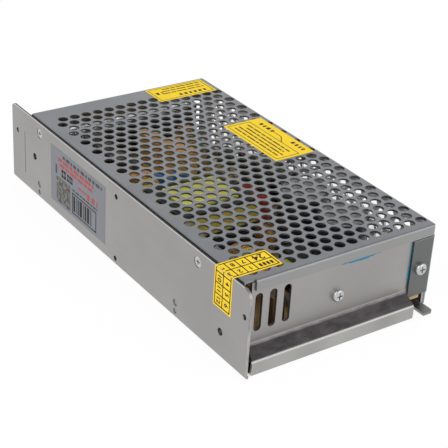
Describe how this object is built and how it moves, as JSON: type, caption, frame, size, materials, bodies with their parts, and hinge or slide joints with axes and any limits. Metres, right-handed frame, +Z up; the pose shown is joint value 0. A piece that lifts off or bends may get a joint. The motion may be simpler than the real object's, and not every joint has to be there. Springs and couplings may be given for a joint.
{
  "type": "switching_power_supply",
  "caption": "Enclosed switching power supply: folded aluminium tray, perforated steel cover, screw terminals under a hinged flap, voltage selector and trimmer",
  "frame": {"origin": "Centre of the case's footprint, on the underside of the tray", "axes": "+X along the case from the wire terminals to the slotted end, +Y across the case from the plain label wall to the perforated wall, +Z up"},
  "size_m": [0.196, 0.098, 0.039],
  "materials": {
    "tray_aluminium": "satin",
    "cover_steel": "satin",
    "screw_nickel": "polished",
    "board": "satin",
    "insulator": "matte",
    "moulding_black": "satin",
    "flap_clear": "gloss",
    "tinned_brass": "polished",
    "glass_tube": "gloss",
    "ceramic_black": "matte",
    "ferrite": "matte",
    "copper_wire": "gloss",
    "tape_yellow": "gloss",
    "capacitor_tan": "gloss",
    "capacitor_blue": "gloss",
    "capacitor_red": "gloss",
    "can_sleeve": "gloss",
    "small_sleeve": "gloss",
    "ring_green": "satin",
    "ring_yellow": "satin",
    "heatsink_aluminium": "satin",
    "pad_grey": "matte",
    "resistor_blue": "matte",
    "knob_red": "satin",
    "trimmer_blue": "satin",
    "rotor_white": "satin",
    "lamp_green": "gloss"
  },
  "bodies": {
    "case": {"chassis": "tray_aluminium", "cover": "cover_steel", "cover_flange_screws": "screw_nickel", "cover_side_screws": "screw_nickel", "cover_tab_screw": "screw_nickel", "end_plate_screw": "screw_nickel", "circuit_board": "board", "insulation_sheet": "insulator", "board_standoffs": "tinned_brass", "board_screws": "screw_nickel", "terminal_block": "moulding_black", "terminal_plates": "tinned_brass", "trimmer_body": "trimmer_blue", "selector_body": "moulding_black", "transformer_core": "ferrite", "transformer_winding": "tape_yellow", "transformer_foot": "moulding_black", "transformer_tape": "tape_yellow", "fuse_tube": "glass_tube", "fuse_caps": "tinned_brass", "fuse_clips": "tinned_brass", "inrush_thermistor": "ceramic_black", "line_capacitor": "capacitor_tan", "line_choke_core": "ring_green", "line_choke_winding": "copper_wire", "bridge_rectifier": "moulding_black", "bulk_capacitors": "can_sleeve", "snubber_capacitors": "capacitor_red", "transistor_pad": "pad_grey", "switching_transistors": "moulding_black", "transistor_clamp": "heatsink_aluminium", "driver_core": "ferrite", "driver_winding": "tape_yellow", "driver_foot": "moulding_black", "safety_capacitors": "capacitor_blue", "output_heatsink": "heatsink_aluminium", "output_diodes": "moulding_black", "diode_screws": "screw_nickel", "output_choke_core": "ring_yellow", "output_choke_winding": "copper_wire", "storage_choke_core": "ring_yellow", "storage_choke_winding": "copper_wire", "output_capacitors": "small_sleeve", "control_chip": "moulding_black", "small_capacitors": "small_sleeve", "resistors": "resistor_blue", "indicator": "lamp_green"},
    "terminal_cover": {"terminal_cover": "flap_clear"},
    "selector_knob": {"selector_slider": "knob_red"},
    "trimmer_rotor": {"trimmer_rotor": "rotor_white"},
    "terminal_screw_1": {"terminal_screw_1": "screw_nickel"},
    "terminal_screw_2": {"terminal_screw_2": "screw_nickel"},
    "terminal_screw_3": {"terminal_screw_3": "screw_nickel"},
    "terminal_screw_4": {"terminal_screw_4": "screw_nickel"},
    "terminal_screw_5": {"terminal_screw_5": "screw_nickel"},
    "terminal_screw_6": {"terminal_screw_6": "screw_nickel"},
    "terminal_screw_7": {"terminal_screw_7": "screw_nickel"},
    "terminal_screw_8": {"terminal_screw_8": "screw_nickel"},
    "terminal_screw_9": {"terminal_screw_9": "screw_nickel"}
  },
  "joints": [
    {"name": "terminal_cover_hinge", "type": "hinge", "parent": "case", "child": "terminal_cover", "pos_m": [-0.0843, 0.00573, 0.0243], "axis": [0, 1, 0], "range_deg": [0, 88]},
    {"name": "selector_slide", "type": "slide", "parent": "case", "child": "selector_knob", "axis": [1, 0, 0], "range_m": [0, 0.004]},
    {"name": "trimmer_turn", "type": "hinge", "parent": "case", "child": "trimmer_rotor", "pos_m": [-0.09, -0.0422, 0.0108], "axis": [0, 0, 1], "range_deg": [-130, 130]},
    {"name": "terminal_screw_1_lift", "type": "slide", "parent": "case", "child": "terminal_screw_1", "axis": [0, 0, 1], "range_m": [0, 0.0025]},
    {"name": "terminal_screw_2_lift", "type": "slide", "parent": "case", "child": "terminal_screw_2", "axis": [0, 0, 1], "range_m": [0, 0.0025]},
    {"name": "terminal_screw_3_lift", "type": "slide", "parent": "case", "child": "terminal_screw_3", "axis": [0, 0, 1], "range_m": [0, 0.0025]},
    {"name": "terminal_screw_4_lift", "type": "slide", "parent": "case", "child": "terminal_screw_4", "axis": [0, 0, 1], "range_m": [0, 0.0025]},
    {"name": "terminal_screw_5_lift", "type": "slide", "parent": "case", "child": "terminal_screw_5", "axis": [0, 0, 1], "range_m": [0, 0.0025]},
    {"name": "terminal_screw_6_lift", "type": "slide", "parent": "case", "child": "terminal_screw_6", "axis": [0, 0, 1], "range_m": [0, 0.0025]},
    {"name": "terminal_screw_7_lift", "type": "slide", "parent": "case", "child": "terminal_screw_7", "axis": [0, 0, 1], "range_m": [0, 0.0025]},
    {"name": "terminal_screw_8_lift", "type": "slide", "parent": "case", "child": "terminal_screw_8", "axis": [0, 0, 1], "range_m": [0, 0.0025]},
    {"name": "terminal_screw_9_lift", "type": "slide", "parent": "case", "child": "terminal_screw_9", "axis": [0, 0, 1], "range_m": [0, 0.0025]}
  ]
}
